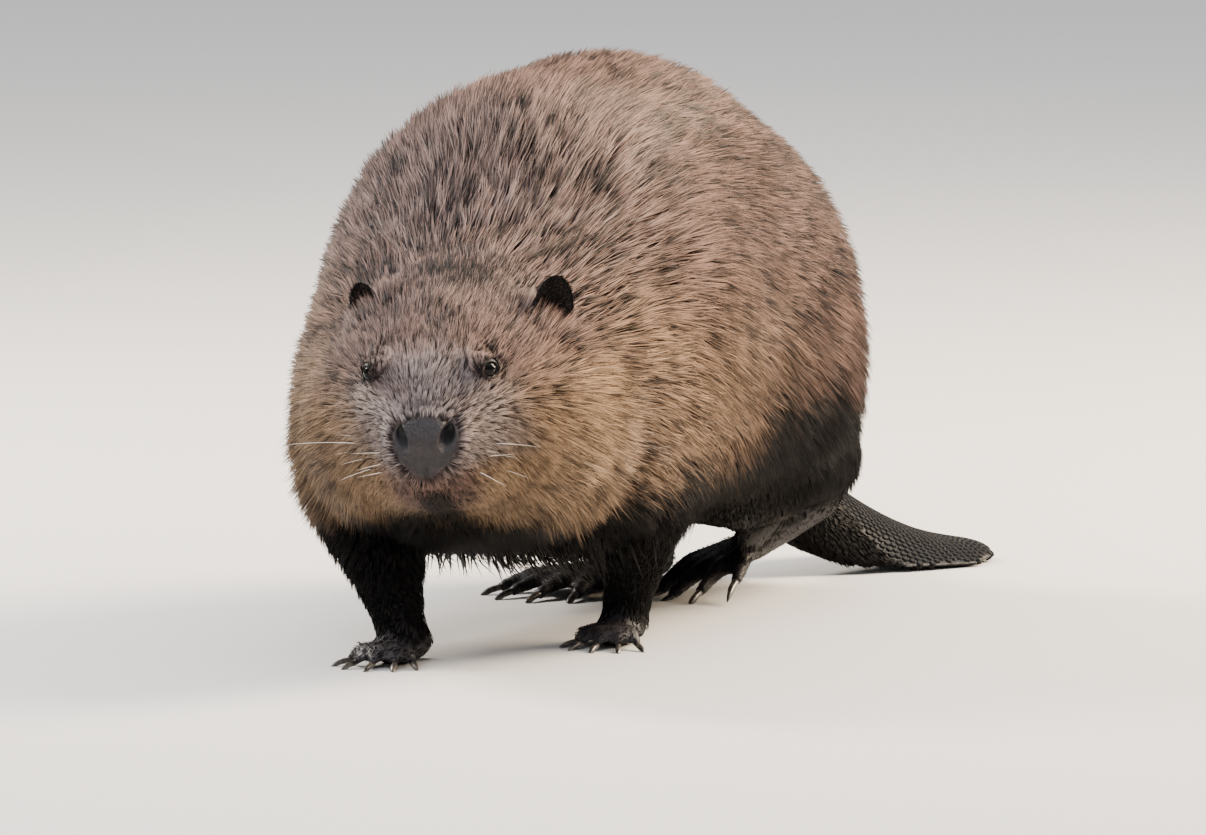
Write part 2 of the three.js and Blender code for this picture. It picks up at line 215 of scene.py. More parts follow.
class Finish:
    """A material under construction."""

    def __init__(self, name, **constants):
        self.material = bpy.data.materials.new(name)
        self.material.use_nodes = True
        self.nodes = self.material.node_tree.nodes
        self.links = self.material.node_tree.links
        self.shader = self.nodes["Principled BSDF"]
        for socket, value in constants.items():
            self.shader.inputs[socket.replace("_", " ")].default_value = value

    def node(self, kind, settings=None, sockets=None, output=0):
        """Adds a node: its settings first, then the values or links of its sockets."""
        made = self.nodes.new(kind)
        for key, value in (settings or {}).items():
            setattr(made, key, value)
        for key, value in (sockets or {}).items():
            if isinstance(value, Wire):
                self.links.new(value.socket, made.inputs[key])
            else:
                made.inputs[key].default_value = value
        return Wire(self, made.outputs[output])

    def place(self):
        """The point on the object, in metres."""
        return self.node("ShaderNodeTexCoord", output="Object")

    def channels(self, name):
        """The three numbers of a colour attribute."""
        stored = self.node("ShaderNodeAttribute", {"attribute_name": name}, output="Color")
        parts = self.node("ShaderNodeSeparateColor", None, {"Color": stored}).socket.node
        return [Wire(self, output) for output in parts.outputs]

    def noise(self, scale, detail, place=None):
        sockets = {"Vector": place or self.place(), "Scale": scale, "Detail": detail}
        return self.node("ShaderNodeTexNoise", None, sockets, output="Fac")

    def mix(self, share, first, second):
        """Two colours, the second by the given share."""
        sockets = {"Factor": share, 6: colour(first), 7: colour(second)}
        return self.node("ShaderNodeMix", {"data_type": "RGBA"}, sockets, output=2)

    def scaled(self, tone, amount):
        """A colour made lighter or darker."""
        return self.node("ShaderNodeVectorMath", {"operation": "SCALE"}, {0: tone, "Scale": amount})

    def bump(self, height, distance, strength):
        sockets = {"Height": height, "Distance": distance, "Strength": strength}
        return self.node("ShaderNodeBump", None, sockets)

    def wear(self, **wires):
        """Feeds the shader's own sockets."""
        for socket, wire in wires.items():
            self.links.new(wire.socket, self.shader.inputs[socket.replace("_", " ")])
        return self.material


def colour(value):
    """A colour from 0-255 screen values as the shader's linear numbers; anything else as it is."""
    if not isinstance(value, tuple) or len(value) != 3:
        return value
    return (*[((c / 255 + 0.055) / 1.055) ** 2.4 if c > 10 else c / 255 / 12.92 for c in value], 1.0)


# ---- meshes ----------------------------------------------------------------------------------------


def linked(name, data):
    """An object of the scene that shows the given mesh, light or camera."""
    made = bpy.data.objects.new(name, data)
    bpy.context.collection.objects.link(made)
    return made


def make_object(name, points, faces, material):
    """A mesh object at the origin, from points in millimetres and faces of one size."""
    mesh = bpy.data.meshes.new(name)
    faces = np.asarray(faces, dtype=np.int32)
    count, corners = faces.shape
    mesh.vertices.add(len(points))
    mesh.vertices.foreach_set("co", (np.asarray(points) * MM).ravel())
    mesh.loops.add(count * corners)
    mesh.loops.foreach_set("vertex_index", faces.ravel())
    mesh.polygons.add(count)
    mesh.polygons.foreach_set("loop_start", np.arange(0, count * corners, corners, dtype=np.int32))
    mesh.polygons.foreach_set("use_smooth", np.ones(count, dtype=bool))
    mesh.materials.append(material)
    mesh.update(calc_edges=True)
    return linked(name, mesh)


def joined(name, nodes, swell=0):
    """The solids of some nodes as one object, swollen by the given depth."""
    shell = bmesh.new()
    for node in nodes:
        shell.from_mesh(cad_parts[node].data)
    bmesh.ops.remove_doubles(shell, verts=shell.verts, dist=1e-6)
    shell.normal_update()
    for vertex in shell.verts:
        vertex.co += vertex.normal * swell * MM
    mesh = bpy.data.meshes.new(name)
    shell.to_mesh(mesh)
    shell.free()
    return linked(name, mesh)


def ball_faces(rings, sides):
    """The triangles of a ball made ring by ring, whose first and last rings are single points."""
    faces = []
    for i in range(rings):
        upper, lower = max(0, 1 + (i - 1) * sides), 1 + i * sides
        for k in range(sides):
            n = (k + 1) % sides
            a, b = (upper, upper) if i == 0 else (upper + k, upper + n)
            c, d = (lower, lower) if i == rings - 1 else (lower + k, lower + n)
            if i > 0:
                faces.append((a, c, b))
            if i < rings - 1:
                faces.append((b, c, d))
    return faces


def set_channels(mesh, name, values):
    """Stores three numbers for each vertex as a colour attribute."""
    attribute = mesh.attributes.new(name, "FLOAT_COLOR", "POINT")
    attribute.data.foreach_set("color", np.column_stack([values, np.ones(len(values))]).ravel())


def evaluated(piece, *modifiers):
    """The mesh that a list of (type, settings) modifiers makes of a piece, and the piece is removed."""
    for kind, settings in modifiers:
        modifier = piece.modifiers.new(kind, kind)
        for key, value in settings.items():
            setattr(modifier, key, value)
    graph = bpy.context.evaluated_depsgraph_get()
    mesh = bpy.data.meshes.new_from_object(piece.evaluated_get(graph))
    bpy.data.objects.remove(piece)
    return mesh


def read_points(mesh):
    points = np.empty(len(mesh.vertices) * 3)
    mesh.vertices.foreach_get("co", points)
    return points.reshape(-1, 3) / MM


def read_edges(mesh):
    edges = np.empty(len(mesh.edges) * 2, dtype=np.int32)
    mesh.edges.foreach_get("vertices", edges)
    return edges.reshape(-1, 2)


def read_triangles(mesh):
    mesh.calc_loop_triangles()
    triangles = np.empty(len(mesh.loop_triangles) * 3, dtype=np.int32)
    mesh.loop_triangles.foreach_get("vertices", triangles)
    return triangles.reshape(-1, 3)


def vertex_normals(points, triangles):
    a, b, c = (points[triangles[:, k]] for k in range(3))
    facing = np.cross(b - a, c - a)
    total = np.zeros_like(points)
    for corner in range(3):
        for axis in range(3):
            total[:, axis] += np.bincount(triangles[:, corner], facing[:, axis], len(points))
    return unit(total)


def averaged(values, edges, share, rounds):
    """Values at the vertices, each drawn towards its neighbours' mean by its share, again and again."""
    count = len(values)
    one, two = edges[:, 0], edges[:, 1]
    degree = np.maximum(np.bincount(edges.ravel(), minlength=count), 1)
    for _ in range(rounds):
        for column in range(values.shape[1]):
            v = values[:, column]
            total = np.bincount(one, v[two], count) + np.bincount(two, v[one], count)
            values[:, column] = v + share * (total / degree - v)
    return values


# ---- the hide: one skin over all the flesh -----------------------------------------------------------


def fused_flesh():
    """The flesh nodes grown together into one closed mesh, without the ears."""
    nodes = [node for node in FLESH if node not in REGION_NODES["ear"]]
    remesh = {"mode": "VOXEL", "voxel_size": HIDE_VOXEL * MM}
    return evaluated(joined("flesh", nodes, FLESH_SWELL), ("REMESH", remesh))


def made_finer(mesh, places, levels=2):
    """Cuts the faces near each (point, radius) into quarters, level after level."""
    shell = bmesh.new()
    shell.from_mesh(mesh)
    for _ in range(levels):
        near = [
            edge
            for edge in shell.edges
            if any((edge.verts[0].co / MM - place).length < radius for place, radius in places)
        ]
        bmesh.ops.subdivide_edges(shell, edges=near, cuts=1, use_grid_fill=True)
    bmesh.ops.triangulate(shell, faces=[face for face in shell.faces if len(face.verts) > 4])
    shell.to_mesh(mesh)
    shell.free()
    return mesh


def region_shares(points, edges):
    """How far each vertex belongs to each region, blended where they meet."""
    corners, labels = [], []
    for index, region in enumerate(REGIONS):
        for node in REGION_NODES[region] if region != "ear" else []:
            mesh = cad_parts[node].data
            for polygon in mesh.polygons:
                corners.append([mesh.vertices[i].co.copy() for i in polygon.vertices])
                labels.append(index)
    tree = BVHTree.FromPolygons(
        [co for triangle in corners for co in triangle],
        [(3 * i, 3 * i + 1, 3 * i + 2) for i in range(len(corners))],
    )
    nearest = np.array([labels[tree.find_nearest(Vector(p))[2]] for p in points * MM])
    shares = np.zeros((len(points), len(REGIONS)))
    shares[np.arange(len(points)), nearest] = 1
    return averaged(shares, edges, np.full(len(points), 0.8), 24)


def mixed(shares, values):
    """A value for each vertex from one for each region."""
    return shares @ np.array([values[region] for region in REGIONS], dtype=float)


def ear_shell(sign):
    """A thin bowl that opens forwards, its foot drawn down into the head, and which points are inside it."""
    yaw, pitch, roll = EAR_TURN
    turn = np.array((HEAD_TURN @ turned(sign * yaw, pitch, sign * roll)).to_3x3())
    seat = from_head((sign * EAR_SPACING / 2 + EAR_SHIFT, *EAR_SEAT))
    rings, sides = 26, 40
    points, inside = [], []
    for i in range(rings + 1):
        reach = math.sin(math.pi * i / rings)
        wall = EAR_WALL * math.sqrt(max(1 - reach**4, 0)) * (1 if i * 2 < rings else -1)
        for k in range(sides if 0 < i < rings else 1):
            around = 2 * math.pi * k / sides
            x, z = EAR_WIDTH / 2 * reach * math.cos(around), EAR_HEIGHT / 2 * reach * math.sin(around)
            y = EAR_CUP * (1 - reach**2) - 3.5 + wall
            z -= EAR_FOOT * max(0, -z / EAR_HEIGHT * 2) ** 1.5
            points.append(seat + turn @ np.array((x, y, z + 4)))
            inside.append(i * 2 > rings and reach < 0.93)
    points, faces = np.array(points), np.array(ball_faces(rings, sides))
    corners = [points[faces[:, k]] - points.mean(axis=0) for k in range(3)]
    if np.sum(corners[0] * np.cross(corners[1], corners[2])) < 0:
        faces = faces[:, ::-1]
    return points, faces, np.array(inside)


def with_ears(points, edges, triangles, shares):
    """The surface with both ears added, and which points are inside an ear."""
    hollow = np.zeros(len(points), dtype=bool)
    all_ear = [float(region == "ear") for region in REGIONS]
    for sign in (1, -1):
        some, faces, inside = ear_shell(sign)
        faces = faces + len(points)
        sides = np.sort(np.concatenate([faces[:, [0, 1]], faces[:, [1, 2]], faces[:, [2, 0]]]), axis=1)
        points = np.vstack([points, some])
        edges = np.vstack([edges, np.unique(sides, axis=0)])
        triangles = np.vstack([triangles, faces])
        shares = np.vstack([shares, np.tile(all_ear, (len(some), 1))])
        hollow = np.concatenate([hollow, inside])
    return points, edges, triangles, shares, hollow


def build_hide_surface():
    """The coat's outer surface, smoothed: points, edges, triangles, shares and whether in an ear."""
    features = [(Vector(box_centre(f"eye_{side}")), FINE_ROUND_EYE) for side in SIDES]
    features.append((Vector(box_centre("nose")), FINE_ROUND_NOSE))
    mesh = made_finer(fused_flesh(), features)
    points, edges, triangles = read_points(mesh), read_edges(mesh), read_triangles(mesh)
    shares = region_shares(points, edges)
    points = averaged(points, edges, mixed(shares, SMOOTHING), 160)
    bpy.data.meshes.remove(mesh)
    return with_ears(points, edges, triangles, shares)


def coat_depth(points, shares):
    """How deep the hide lies under the tips of the coat."""
    depth = mixed(shares, COAT_DEPTH)
    q = in_head(points)
    on_head = share_of(shares, "head")
    towards_nose = 1 - ramp(q[:, 1], 22, 92)
    above = ramp(q[:, 2], -20, 20)
    depth -= on_head * (towards_nose * FACE_THINNER + above * (1 - towards_nose) * CROWN_THINNER)
    depth += on_head * EARS_DEEPER * (1 - ramp(distance_to(points, "ear"), 20, 40))
    low_leg = share_of(shares, "leg") * (1 - ramp(points[:, 2], 25, 75))
    depth -= low_leg * SHIN_THINNER
    return np.maximum(depth, 0)


# ---- the camera, floor and lights ------------------------------------------------------------------

VIEW_AZIMUTH, VIEW_ELEVATION = 24.0, 6.0  # degrees
VIEW_DISTANCE = 6500
VIEW_LENS, SENSOR_WIDTH = 320.15, 36.0
EYE_TO_VIEW_CENTRE = (-59.24, 301.27, -59.79)  # from the left eye to the middle of the view

FLOOR_HALF = 30000
FLOOR_TONE, ROOM_TONE, ROOM_LIGHT = (206, 203, 198), (232, 234, 238), 0.42
LIGHTS = {  # place, size, power in watts and colour
    "sun window": ((1600, 1500, 1700), 1500, 250, (255, 234, 206)),
    "low window": ((1500, 2600, 800), 500, 85, (255, 232, 200)),
    "second window": ((-1900, 300, 1500), 700, 105, (255, 246, 236)),
    "sky panel": ((0, 0, 7000), 15000, 1230, (240, 245, 255)),
    "front fill": ((500, -2700, 1500), 1600, 62, (250, 250, 255)),
}


def make_camera():
    target = box_centre("eye_left") + np.array(EYE_TO_VIEW_CENTRE)
    azimuth, elevation = math.radians(VIEW_AZIMUTH), math.radians(VIEW_ELEVATION)
    level = math.cos(elevation)
    back = np.array([math.sin(azimuth) * level, -math.cos(azimuth) * level, math.sin(elevation)])
    data = bpy.data.cameras.new("camera")
    data.lens, data.sensor_width = VIEW_LENS, SENSOR_WIDTH
    data.clip_end = 100  # metres
    camera = linked("camera", data)
    camera.location = (target + back * VIEW_DISTANCE) * MM
    camera.rotation_euler = Vector(-back).to_track_quat("-Z", "Y").to_euler()
    bpy.context.scene.camera = camera


def area_light(name, place, target, size, power, tone):
    data = bpy.data.lights.new(name, "AREA")
    data.shape, data.size, data.energy = "DISK", size * MM, power
    data.color = colour(tone)[:3]
    light = linked(name, data)
    light.location = Vector(place) * MM
    light.rotation_euler = (Vector(target) - Vector(place)).to_track_quat("-Z", "Y").to_euler()


def make_stage():
    """A plain pale floor, and soft light from high behind and above with a broad fill from the front."""
    finish = Finish("floor paper", Roughness=0.9, Base_Color=colour(FLOOR_TONE))
    corners = [(x * FLOOR_HALF, y * FLOOR_HALF, 0.0) for x, y in ((-1, -1), (1, -1), (1, 1), (-1, 1))]
    floor = make_object("floor", corners, [[0, 1, 2, 3]], finish.material)
    floor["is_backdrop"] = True
    middle = np.mean(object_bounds(), axis=0) / MM
    for name, (place, size, power, tone) in LIGHTS.items():
        area_light(name, place, middle, size, power, tone)
    world = bpy.data.worlds.new("studio")
    world.use_nodes = True
    background = world.node_tree.nodes["Background"]
    background.inputs["Color"].default_value = colour(ROOM_TONE)
    background.inputs["Strength"].default_value = ROOM_LIGHT
    bpy.context.scene.world = world


# ---- the coat: how it lies, how long it is and how it is marked ------------------------------------------

COAT_LENGTH = dict(body=38, neck=33, head=21, nose=4, ear=3.2, leg=15, foot=4, tail=15)
TUFT_WIDTH = dict(body=1.3, neck=1.25, head=0.8, nose=0.6, ear=0.7, leg=1.1, foot=0.7, tail=1.3)
# Square millimetres of hide for each tuft. Where a tuft would have more than NO_HAIR, none grows.
TUFT_SPACE = dict(body=2.55, neck=2.2, head=0.95, nose=60, ear=1.3, leg=2.4, foot=5, tail=400)
NO_HAIR = 30
TUFT_RISE = 0.9  # height of a tip over the hide, in depths of the coat
TUFT_BELLY = 0.36  # where along a tuft it is widest
# The ranges of the tufts' lengths, widths and rises, as shares of their region's own.
LENGTH_SPREAD, WIDTH_SPREAD, RISE_SPREAD = (0.72, 1.12), (0.7, 1.15), (0.45, 1.0)
CLEARANCE = 0.3  # least height of a tip over the hide and of any tuft over the floor
STRAYS = 0.05  # share of long stray tufts under the belly
# The middle of a clump draws the tips round it by a share of the way, and by no more than CLUMP_REACH.
CLUMP_SIZE, CLUMP_REACH = 4.6, 10
CLUMP_PULL = dict(body=0.72, neck=0.72, head=0.58, nose=0, ear=0.1, leg=0.7, foot=0.4, tail=0.6)
DARK_EDGE = 144  # height of the blackish underside's edge at the flank
INSIDE_EAR = (0.8, 0.1, 0.1)  # its shares of blackish, golden and silver hair, the silver partly painted sheen
PIECE_TRIANGLES = 190000  # the most in one piece of the coat
PATCH = 0.003  # size of a tuft on the unwrap
SPINE_MIDDLE = (3, 0, 168)
TUFT_FACES = [(0, 2, 1), (0, 3, 2), (0, 1, 3), (1, 2, 4), (2, 3, 4), (3, 1, 4)]
RANDOM = np.random.default_rng(7)


def lie_of_coat(points, normals, shares, edges):
    """How the hair lies at each vertex: back from the nose, fanned over the nape and down the sides."""
    q = in_head(points)
    radial = unit(q - np.array((0, 6, -2)))
    radial[:, 1] += 0.55 * ramp(q[:, 1], 10, 70)
    radial[:, 2] -= 0.8 * ramp(np.abs(q[:, 0]), 14, 46) * (1 - ramp(q[:, 2], 0, 30))
    on_face = radial @ HEAD_AXES.T
    fan = unit(points - from_head((0, 78, 0)))
    low = ramp(points[:, 2], 300, 70)
    on_body = np.column_stack([0 * low, 1 + 0 * low, -0.2 - 1.0 * low])
    near_head = (1 - ramp(points[:, 1], -230, -90))[:, None]
    hanging = 1 - ramp(points[:, 2], 70, 115)
    on_body[:, 2] -= 1.2 * hanging
    on_body = on_body * (1 - 0.6 * near_head) + fan * 1.2 * near_head
    on_leg = np.tile((0.0, 0.2, -1.0), (len(points), 1))
    on_foot = np.tile((0.0, -1.0, -0.25), (len(points), 1))
    share = {region: shares[:, [index]] for index, region in enumerate(REGIONS)}
    head = share["head"] + share["nose"] + share["ear"]
    flow = head * unit(on_face) + (share["body"] + share["neck"] + share["tail"]) * unit(on_body)
    flow += share["leg"] * unit(on_leg) + share["foot"] * unit(on_foot)
    flow = averaged(along_plane(flow, normals), edges, np.full(len(points), 0.8), 30)
    return along_plane(flow, normals)


def dark_and_shade_marks(points, q, share, drift):
    """Blackish hair of the underside, limbs and ears, and painted shade under the jaw and muzzle, on the
    left shoulder and chest, round the eyes and in the folds behind the head.
    """
    x, y, z = points.T
    front = 1 - ramp(y, -90, -10)
    edge = DARK_EDGE - 52 * front
    # At the front the edge rises on the left side, falls on the right and rises over the chest: there the
    # dark is painted shade on the shoulder and under the head; elsewhere it is the coat's own dark
    # underside.
    edge += front * (24 * ramp(x, 36, 76) - 42 * ramp(-x, 38, 74))
    edge += 30 * (1 - ramp(y, -240, -170)) * (1 - ramp(np.abs(x - 22), 24, 62))
    underside = 1 - ramp(z + 1.3 * drift, edge - 22, edge + 28)
    legs = ramp(share["leg"], 0.25, 0.8) * (1 - ramp(z + drift, 110, 150))
    dark = np.maximum.reduce([underside, legs, share["foot"], 0.9 * share["tail"]])
    # Painted shade under the jaw, on all but the right side of the head.
    throat_shade = (1 - ramp(z + 0.4 * drift, 90, 104)) * (1 - ramp(-x, 38, 70))
    dark = dark * (1 - share["head"]) + share["head"] * throat_shade
    # Painted shade under the muzzle, along its middle.
    below = 1 - ramp(q[:, 2] + 0.2 * drift, -34, -22)
    chin_shade = share["head"] * below * (1 - ramp(np.abs(q[:, 0] - 2), 5, 17)) * (1 - ramp(q[:, 1], 50, 80)) * 0.8
    ears = ramp(share["ear"], 0.45, 0.7)
    # Painted shade in the sockets round the eyes.
    eye_socket_shade = (1 - ramp(beside_eye(points), 6, 9)) * (share["head"] > 0.5)
    # Painted shade in the fold behind the head: over its top and behind the cheeks.
    nape_fold_shade = np.exp(-(((q[:, 1] - 118) / 24) ** 2)) * ramp(q[:, 2], 0, 30)
    nape_fold_shade *= 1 - ramp(np.abs(q[:, 0] - 8), 8, 48)
    cheek_fold_shade = np.exp(-(((q[:, 1] - 128) / 13) ** 2)) * ramp(np.abs(q[:, 0]), 40, 60)
    cheek_fold_shade *= 1 - ramp(q[:, 2], 0, 30)
    return np.maximum.reduce([dark, chin_shade, ears, 0.6 * eye_socket_shade, 0.6 * nape_fold_shade, 0.35 * cheek_fold_shade])


def gold_marks(points, q, share, drift):
    """Golden hair: the cheeks, and low on the sides of neck and shoulders."""
    x, y, z = points.T
    cheek = ramp(np.hypot(q[:, 0], q[:, 1]), 20, 44) * (1 - ramp(q[:, 2], -4, 24)) * share["head"]
    side = ramp(np.abs(x - 10), 40, 95) * (1 - ramp(y + 2 * drift, -130, 90))
    side *= 1 - ramp(z + drift, 160, 250)
    return np.maximum(cheek, side * (share["body"] + share["neck"]) * 0.65)


def silver_and_sheen_marks(points, q, share):
    """Silver-grey on hair that faces up, on the crown, the nape and the bridge of the nose: partly the
    hair's own grey, partly painted sheen.
    """
    crown = share["head"] * ramp(q[:, 2], 16, 40) * ramp(q[:, 1], 40, 95)
    nape = (share["neck"] + share["body"]) * (1 - ramp(points[:, 1], -215, -90))
    nape *= ramp(points[:, 2], 190, 260)
    bridge = (share["head"] + share["nose"]) * (1 - ramp(q[:, 1], 26, 56)) * ramp(q[:, 2], -24, -4)
    return np.clip(0.48 * crown + 0.55 * nape + bridge, 0, 1) * (1 + 0.5 * lattice(points, 13, 5))


def coat_marks(points, shares):
    """Shares of blackish, golden and silver hair at each point, the blackish partly painted shade and the
    silver partly painted sheen; the rest is the warm brown of the back.
    """
    q = in_head(points)
    share = dict(zip(REGIONS, shares.T))
    drift = 14 * lattice(points, 38, 3) + 7 * lattice(points, 15, 4)
    dark, gold = dark_and_shade_marks(points, q, share, drift), gold_marks(points, q, share, drift)
    return np.clip(np.column_stack([dark, gold, silver_and_sheen_marks(points, q, share)]), 0, 1)


class Roots:
    """Places on the hide where tufts grow, with what the hide says of each."""

    def __init__(self, hide):
        corners = [hide["points"][hide["triangles"][:, k]] for k in range(3)]
        area = 0.5 * np.linalg.norm(np.cross(corners[1] - corners[0], corners[2] - corners[0]), axis=1)
        wanted = np.cumsum(area / hide["space"][hide["triangles"]].mean(axis=1))
        count = int(wanted[-1])
        spots = (np.arange(count) + RANDOM.random(count)) * wanted[-1] / count
        triangle = np.minimum(np.searchsorted(wanted, spots), len(area) - 1)
        one, two = RANDOM.random((2, count))
        outside = one + two > 1
        one[outside], two[outside] = 1 - one[outside], 1 - two[outside]
        self.hide, self.corners = hide, hide["triangles"][triangle]
        self.parts = np.column_stack([1 - one - two, one, two])
        haired = self.read("space") < NO_HAIR
        self.corners, self.parts = self.corners[haired], self.parts[haired]
        self.count = len(self.corners)
        self.place, self.normals = self.read("points"), unit(self.read("normals"))
        self.flow = along_plane(self.read("flow"), self.normals)
        self.shares, self.marks = self.read("shares"), self.read("marks")
        self.depth, self.in_ear = self.read("depth"), self.read("in_ear")
        self.under = ramp(-self.normals[:, 2], 0.2, 0.75) * (1 - ramp(self.place[:, 2], 70, 120))
        self.legs = mixed(self.shares, dict.fromkeys(REGIONS, 0) | {"leg": 1, "foot": 1})

    def read(self, name):
        """A quantity of the hide at the roots."""
        values = self.hide[name][self.corners]
        parts = self.parts if values.ndim == 2 else self.parts[:, :, None]
        return np.sum(values * parts, axis=1)


def combed(roots):
    """The way of each tuft: the lie of the coat, swayed in locks and tuft by tuft."""
    sway = 0.22 * lattice(roots.place, 22, 11) + 0.16 * lattice(roots.place, 8, 12)
    sway += RANDOM.normal(0, 0.11, roots.count)
    return unit(roots.flow + np.cross(roots.flow, roots.normals) * sway[:, None])


def tuft_sizes(roots):
    """Length, width, rise over the hide and sideways bend of each tuft."""
    place, shares, count = roots.place, roots.shares, roots.count
    length = mixed(shares, COAT_LENGTH) * length_factor(place, shares)
    length *= RANDOM.uniform(*LENGTH_SPREAD, count)
    width = mixed(shares, TUFT_WIDTH) * RANDOM.uniform(*WIDTH_SPREAD, count)
    width *= 1 - 0.36 * on_face(place, shares)
    rise = roots.depth * TUFT_RISE * RANDOM.uniform(*RISE_SPREAD, count) + 0.6 + 0.03 * length
    before_ear = ear_front(place, shares)
    length *= (1 + 0.6 * roots.in_ear + 0.9 * before_ear) * (1 - 0.45 * roots.under)
    rise *= (1 - 0.75 * roots.under) * near_eye(place)
    stand_off = ruff_share(place, shares) * length * RANDOM.uniform(0.12, 0.5, count)
    rise += stand_off + before_ear * RANDOM.uniform(3, 9, count)
    bend = length * (0.1 * lattice(place, 12, 13) + RANDOM.normal(0, 0.05, count))
    return length, width, rise, bend


def hanging_tips(roots, flow, length, rise):
    """Where the tips come to: the ruff, the chest and the strays under the belly hang down."""
    place = roots.place
    belly = (roots.under > 0.5) & (np.abs(place[:, 1] + 130) < 80) & (roots.marks[:, 0] > 0.8)
    stray = (RANDOM.random(roots.count) < STRAYS) & belly
    length = length * (1 + 0.9 * stray * (roots.legs < 0.5))
    tips = place + flow * length[:, None] + roots.normals * rise[:, None]
    droop = 0.3 * ruff_share(place, roots.shares) + 0.45 * stray
    tips[:, 2] -= droop * length * RANDOM.uniform(0.5, 1, roots.count)
    chest = (1 - ramp(place[:, 2], 70, 130)) * (1 - ramp(place[:, 1], -190, -110)) * (1 - roots.legs)
    tips[:, 2] -= 0.22 * length * chest * RANDOM.uniform(0.3, 1, roots.count)
    return tips


def clumped(roots, tips):
    """The tips drawn to the middles of their clumps, and the tuft at the middle of each one's clump."""
    count = max(int(roots.count * 4 / CLUMP_SIZE**2), 1)
    chosen = RANDOM.choice(roots.count, count, replace=False)
    tree = KDTree(count)
    for index, k in enumerate(chosen):
        tree.insert(Vector(roots.place[k]), index)
    tree.balance()
    owner = chosen[np.array([tree.find(Vector(p))[1] for p in roots.place])]
    pull = tips[owner] - tips
    pull *= np.minimum(1, CLUMP_REACH / np.maximum(np.linalg.norm(pull, axis=1), 1e-6))[:, None]
    return tips + pull * mixed(roots.shares, CLUMP_PULL)[:, None], owner


def tuft_points(roots, tips, width, bend):
    """Closed tufts of five points each: the root, three round the belly and the tip."""
    normals, reach = roots.normals, tips - roots.place
    rise = np.maximum(np.sum(reach * normals, axis=1), CLEARANCE)
    flow = along_plane(reach, normals)
    length = np.sum(reach * flow, axis=1)
    side = np.cross(flow, normals)

    def centre(t):
        lift = normals * (rise * (1 - (1 - t) ** 1.7))[:, None]
        return roots.place + flow * (length * t)[:, None] + lift + side * (bend * t * t)[:, None]

    half = (width / 2)[:, None]
    middle = centre(TUFT_BELLY)
    belly = [middle - side * half, middle + normals * half * 0.8, middle + side * half]
    tufts = np.stack([centre(0), *belly, centre(1)], axis=1)
    tufts[:, :, 2] = np.maximum(tufts[:, :, 2], CLEARANCE)
    return tufts


def tuft_marks(roots, owner):
    """Each tuft's marks, scattered so that they mingle, and how light it and its clump are."""
    marks = roots.marks
    marks[:, 0] = ramp(marks[:, 0] + RANDOM.uniform(-0.3, 0.3, roots.count), 0.2, 0.8)
    marks[:, 2] *= np.maximum(RANDOM.uniform(0.15, 1, roots.count), on_face(roots.place, roots.shares))
    chances = np.column_stack([RANDOM.random(roots.count), RANDOM.random(roots.count)[owner]])
    short = (1 - ramp(in_head(roots.place)[:, 1], 30, 95)) * (1 - roots.legs)
    chances[:, 0] = np.maximum(chances[:, 0], short * (0.55 + 0.45 * chances[:, 0]))
    return marks, chances


def unwrapped(roots, on_leg):
    """Each root's angle round the spine and way along it, or its angle round its leg and its height."""
    place = roots.place
    middle = place - np.array(SPINE_MIDDLE)
    angle = np.arctan2(middle[:, 0], middle[:, 2]) / (2 * math.pi) + 0.5
    along = order_along(place)
    centres = np.array([box_centre(f"leg_{leg}") for leg in LEGS])
    which = np.linalg.norm(place[on_leg, None, :2] - centres[None, :, :2], axis=2).argmin(axis=1)
    out = place[on_leg] - centres[which]
    angle[on_leg] = (which + np.arctan2(out[:, 0], out[:, 1]) / (2 * math.pi) + 0.5) / len(LEGS)
    along[on_leg] = place[on_leg, 2]
    return np.column_stack([angle, along])


def grow_coat(hide, material):
    """All tufts of the coat: the legs' in one piece, the rest split along the body into light pieces."""
    roots = Roots(hide)
    flow = combed(roots)
    length, width, rise, bend = tuft_sizes(roots)
    tips, owner = clumped(roots, hanging_tips(roots, flow, length, rise))
    marks, chances = tuft_marks(roots, owner)
    on_leg = np.flatnonzero(roots.legs > 0.5)
    on_body = np.setdiff1d(np.arange(roots.count), on_leg)
    unwrap = unwrapped(roots, on_leg)
    coat = (tuft_points(roots, tips, width, bend), marks, chances, unwrap)
    parts = math.ceil(len(on_body) * len(TUFT_FACES) / PIECE_TRIANGLES)
    for index, chosen in enumerate(np.array_split(on_body[np.argsort(unwrap[on_body, 1])], parts)):
        coat_piece(f"coat_{index + 1}", "body_fur", material, *[rows[chosen] for rows in coat])
    coat_piece("coat_legs", "dark_fur", material, *[rows[on_leg] for rows in coat])


def on_face(points, shares):
    """1 on the face and 0 behind the eyes."""
    return share_of(shares, "head") * (1 - ramp(in_head(points)[:, 1], 40, 85))


def ear_front(points, shares):
    """1 at the foot of each ear on the crown's side, where the head's hair stands up before the ear."""
    q = in_head(points)
    inward = np.abs(q[:, 0] - EAR_SHIFT) - EAR_SPACING / 2
    near = 1 - ramp(np.hypot(inward + 8, q[:, 1] - 108), 9, 20)
    return near * share_of(shares, "head") * ramp(q[:, 2], 0, 12)


def ruff_share(points, shares):
    """1 in the ruff of the cheeks and jaw, where the hair stands off and ends freely."""
    q = in_head(points)
    return share_of(shares, "head") * ramp(q[:, 1], 34, 80) * (1 - ramp(q[:, 2], -5, 30))


def near_eye(points):
    """Small beside an eye, growing to 1 away from it: hair there is short and flat."""
    return 0.36 + 0.64 * ramp(beside_eye(points), 5.5, 13)


